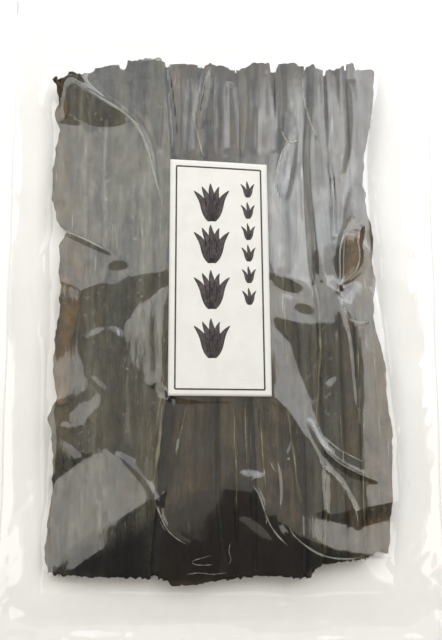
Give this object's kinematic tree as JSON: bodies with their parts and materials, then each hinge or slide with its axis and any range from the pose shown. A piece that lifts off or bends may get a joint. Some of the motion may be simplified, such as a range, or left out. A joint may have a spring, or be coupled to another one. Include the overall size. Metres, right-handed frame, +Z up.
{
  "type": "bag of dried kelp",
  "caption": "Flat clear film bag, sealed at its ends, filled with long dried kelp strips under a white paper label, lying face up.",
  "frame": {"origin": "middle of the bag's box at the surface that it lies on", "axes": "+Z up out of the labelled face, +Y along the bag to the label's top end, +X to the right as the label is read"},
  "size_m": [0.195, 0.3, 0.0188],
  "materials": {
    "film": "clear glossy plastic film",
    "kelp": "dried, satin, wrinkled along its length, with a faint pale bloom",
    "label": "matt",
    "print": "flat printed ink"
  },
  "bodies": {
    "root": {"film_bag": "film", "label": "label"}
  },
  "joints": []
}
